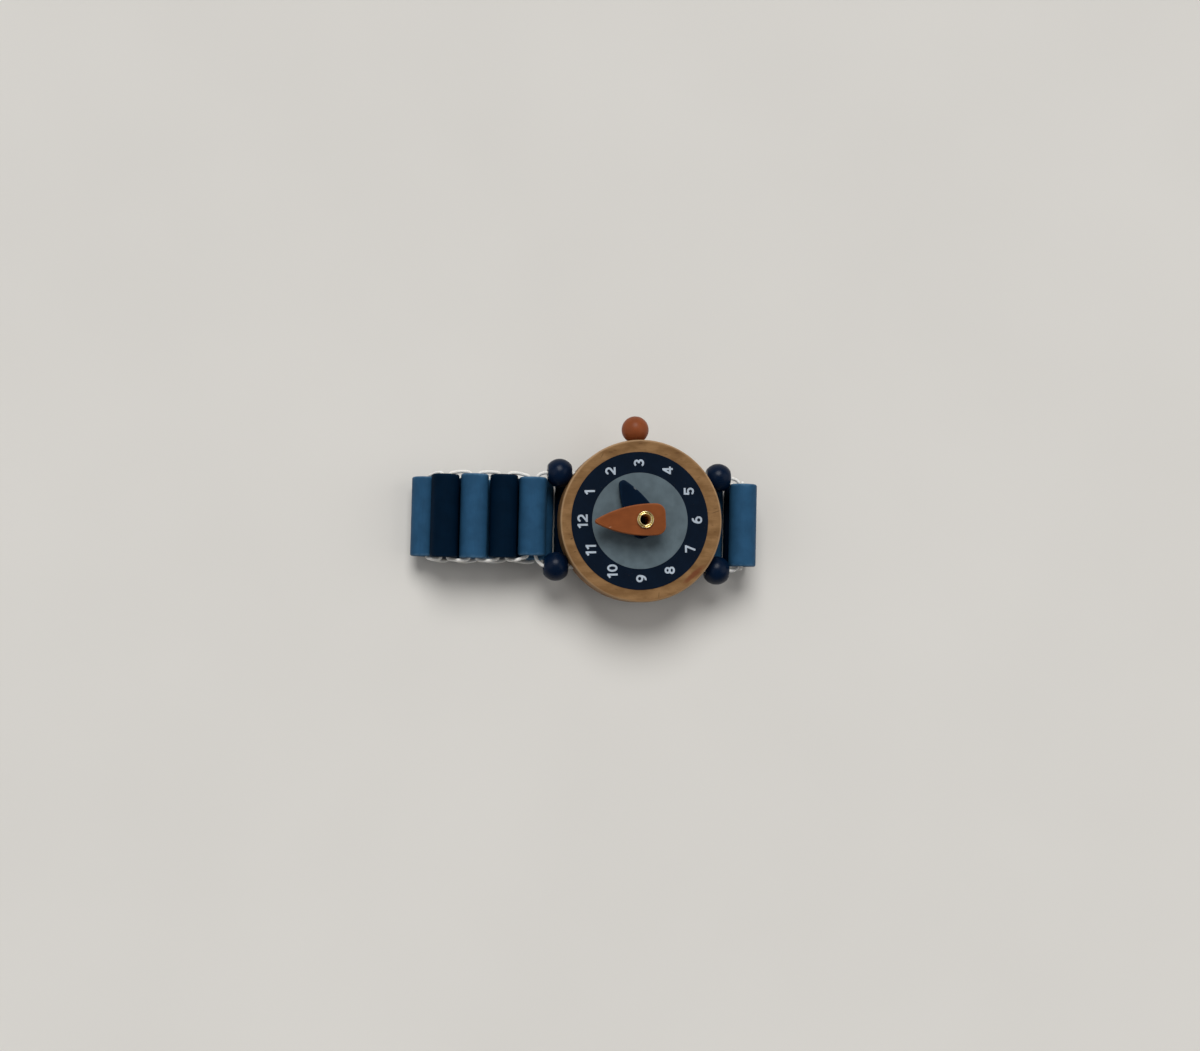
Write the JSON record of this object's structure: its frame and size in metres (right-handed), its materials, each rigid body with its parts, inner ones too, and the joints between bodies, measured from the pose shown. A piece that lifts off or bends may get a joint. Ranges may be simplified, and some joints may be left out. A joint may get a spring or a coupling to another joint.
{
  "type": "toy watch",
  "caption": "Toy wooden wristwatch with a printed dial, two hands that turn on a hollow rivet, a ball crown and a strap of painted wooden rods threaded on elastic, pressed flat.",
  "frame": {"origin": "on the hands' axis, at the front face of the wooden case", "axes": "+Z points out of the dial, +X along the strap towards 6 o'clock, +Y towards the crown at 3 o'clock"},
  "size_m": [0.0816, 0.0439, 0.0221],
  "materials": {
    "beech": "sanded beech, thin clear oil",
    "navy_print": "matte printed ink on wood",
    "grey_print": "matte printed ink on wood",
    "pale_print": "matte printed ink on wood",
    "orange_paint": "satin paint on wood",
    "navy_paint": "satin paint on wood",
    "light_blue_paint": "satin paint on wood",
    "brass": "bright brass",
    "elastic": "white covered elastic"
  },
  "bodies": {
    "case": {"case": "beech", "dial_ring": "navy_print", "dial_centre": "grey_print", "numerals": "pale_print", "hand_rivet": "brass", "spacer_washer": "beech", "hand_washer": "brass", "back_washer": "brass", "crown": "orange_paint", "crown_peg": "beech", "elastic_case": "elastic"},
    "hour_hand": {"hour_hand": "navy_paint"},
    "minute_hand": {"minute_hand": "orange_paint"},
    "lug_12": {"bead_12_crown_side": "navy_paint", "bead_12_far_side": "navy_paint", "elastic_lug_12": "elastic"},
    "link_01": {"rod_01": "light_blue_paint", "elastic_01": "elastic"},
    "link_02": {"rod_02": "navy_paint", "elastic_02": "elastic"},
    "link_03": {"rod_03": "light_blue_paint", "elastic_03": "elastic"},
    "link_04": {"rod_04": "navy_paint", "elastic_04": "elastic"},
    "link_05": {"rod_05": "light_blue_paint", "elastic_05": "elastic"},
    "link_06": {"rod_06": "navy_paint", "elastic_06": "elastic"},
    "link_07": {"rod_07": "light_blue_paint", "elastic_07": "elastic"},
    "link_08": {"rod_08": "navy_paint", "elastic_08": "elastic"},
    "link_09": {"rod_09": "light_blue_paint", "elastic_09": "elastic"},
    "link_10": {"rod_10": "navy_paint", "elastic_10": "elastic"},
    "link_11": {"rod_11": "light_blue_paint", "elastic_11": "elastic"},
    "link_12": {"rod_12": "navy_paint", "elastic_12": "elastic"},
    "link_13": {"rod_13": "light_blue_paint", "elastic_13": "elastic"},
    "link_14": {"rod_14": "navy_paint", "elastic_14": "elastic"},
    "link_15": {"rod_15": "light_blue_paint", "elastic_15": "elastic"},
    "link_16": {"rod_16": "navy_paint", "elastic_16": "elastic"},
    "link_17": {"rod_17": "light_blue_paint", "bead_6_crown_side": "navy_paint", "bead_6_far_side": "navy_paint", "elastic_lug_6": "elastic"}
  },
  "joints": [
    {"name": "hour_hand_turn", "type": "hinge", "parent": "case", "child": "hour_hand", "pos_m": [0, 0, 0.001], "axis": [0, 0, 1], "continuous": true},
    {"name": "minute_hand_turn", "type": "hinge", "parent": "case", "child": "minute_hand", "pos_m": [0, 0, 0.00366], "axis": [0, 0, 1], "continuous": true},
    {"name": "strap_open", "type": "hinge", "parent": "lug_12", "child": "case", "pos_m": [-0.01894, 0, -0.00565], "axis": [0, 1, 0], "range_deg": [0, 31.4]},
    {"name": "rod_01_turn", "type": "hinge", "parent": "link_01", "child": "lug_12", "pos_m": [-0.02509, 0, -0.00565], "axis": [0, 1, 0], "range_deg": [0, 26.5]},
    {"name": "rod_02_turn", "type": "hinge", "parent": "link_02", "child": "link_01", "pos_m": [-0.03194, 0, -0.00565], "axis": [0, 1, 0], "range_deg": [0, 21.1]},
    {"name": "rod_03_turn", "type": "hinge", "parent": "link_03", "child": "link_02", "pos_m": [-0.03879, 0, -0.00565], "axis": [0, 1, 0], "range_deg": [0, 18.2]},
    {"name": "rod_04_turn", "type": "hinge", "parent": "link_04", "child": "link_03", "pos_m": [-0.04564, 0, -0.00565], "axis": [0, 1, 0], "range_deg": [-31.3, 0]},
    {"name": "rod_05_turn", "type": "hinge", "parent": "link_05", "child": "link_04", "pos_m": [-0.05007, 0, -0.01087], "axis": [0, 1, 0], "range_deg": [-86.7, 0]},
    {"name": "rod_06_turn", "type": "hinge", "parent": "link_06", "child": "link_05", "pos_m": [-0.04341, 0, -0.0125], "axis": [0, 1, 0], "range_deg": [0, 6.8]},
    {"name": "rod_07_turn", "type": "hinge", "parent": "link_07", "child": "link_06", "pos_m": [-0.03656, 0, -0.0125], "axis": [0, 1, 0], "range_deg": [0, 8.4]},
    {"name": "rod_08_turn", "type": "hinge", "parent": "link_08", "child": "link_07", "pos_m": [-0.02971, 0, -0.0125], "axis": [0, 1, 0], "range_deg": [0, 5.9]},
    {"name": "rod_09_turn", "type": "hinge", "parent": "link_08", "child": "link_09", "pos_m": [-0.02286, 0, -0.0125], "axis": [0, -1, 0], "range_deg": [0, 5.5]},
    {"name": "rod_10_turn", "type": "hinge", "parent": "link_09", "child": "link_10", "pos_m": [-0.01601, 0, -0.0125], "axis": [0, -1, 0], "range_deg": [0, 6.7]},
    {"name": "lug_6_turn", "type": "hinge", "parent": "case", "child": "link_17", "pos_m": [0.01894, 0, -0.00565], "axis": [0, -1, 0], "range_deg": [-30.3, 0]},
    {"name": "rod_17_turn", "type": "hinge", "parent": "link_17", "child": "link_16", "pos_m": [0.02509, 0, -0.00565], "axis": [0, -1, 0], "range_deg": [0, 73.4]},
    {"name": "rod_16_turn", "type": "hinge", "parent": "link_16", "child": "link_15", "pos_m": [0.02509, 0, -0.0125], "axis": [0, -1, 0], "range_deg": [0, 65.3]},
    {"name": "rod_15_turn", "type": "hinge", "parent": "link_15", "child": "link_14", "pos_m": [0.01824, 0, -0.0125], "axis": [0, -1, 0], "range_deg": [-28.3, 0]},
    {"name": "rod_14_turn", "type": "hinge", "parent": "link_14", "child": "link_13", "pos_m": [0.01139, 0, -0.0125], "axis": [0, -1, 0], "range_deg": [-25.7, 0]},
    {"name": "rod_13_turn", "type": "hinge", "parent": "link_13", "child": "link_12", "pos_m": [0.00454, 0, -0.0125], "axis": [0, -1, 0], "range_deg": [-20.1, 0]},
    {"name": "rod_12_turn", "type": "hinge", "parent": "link_12", "child": "link_11", "pos_m": [-0.00231, 0, -0.0125], "axis": [0, -1, 0], "range_deg": [-14.2, 0]}
  ],
  "couplings": [
    {"joint": "rod_01_turn", "follows": "strap_open", "ratio": 0.83642},
    {"joint": "rod_02_turn", "follows": "strap_open", "ratio": 0.66428},
    {"joint": "rod_03_turn", "follows": "strap_open", "ratio": 0.57367},
    {"joint": "rod_04_turn", "follows": "strap_open", "ratio": -0.99181},
    {"joint": "rod_05_turn", "follows": "strap_open", "ratio": -2.7542},
    {"joint": "rod_06_turn", "follows": "strap_open", "ratio": 0.20972},
    {"joint": "rod_07_turn", "follows": "strap_open", "ratio": 0.26181},
    {"joint": "rod_08_turn", "follows": "strap_open", "ratio": 0.18253},
    {"joint": "rod_09_turn", "follows": "strap_open", "ratio": 0.16921},
    {"joint": "rod_10_turn", "follows": "strap_open", "ratio": 0.20791},
    {"joint": "lug_6_turn", "follows": "strap_open", "ratio": -0.95849},
    {"joint": "rod_17_turn", "follows": "strap_open", "ratio": 2.3297},
    {"joint": "rod_16_turn", "follows": "strap_open", "ratio": 2.0747},
    {"joint": "rod_15_turn", "follows": "strap_open", "ratio": -0.89537},
    {"joint": "rod_14_turn", "follows": "strap_open", "ratio": -0.81287},
    {"joint": "rod_13_turn", "follows": "strap_open", "ratio": -0.63348},
    {"joint": "rod_12_turn", "follows": "strap_open", "ratio": -0.44546}
  ]
}
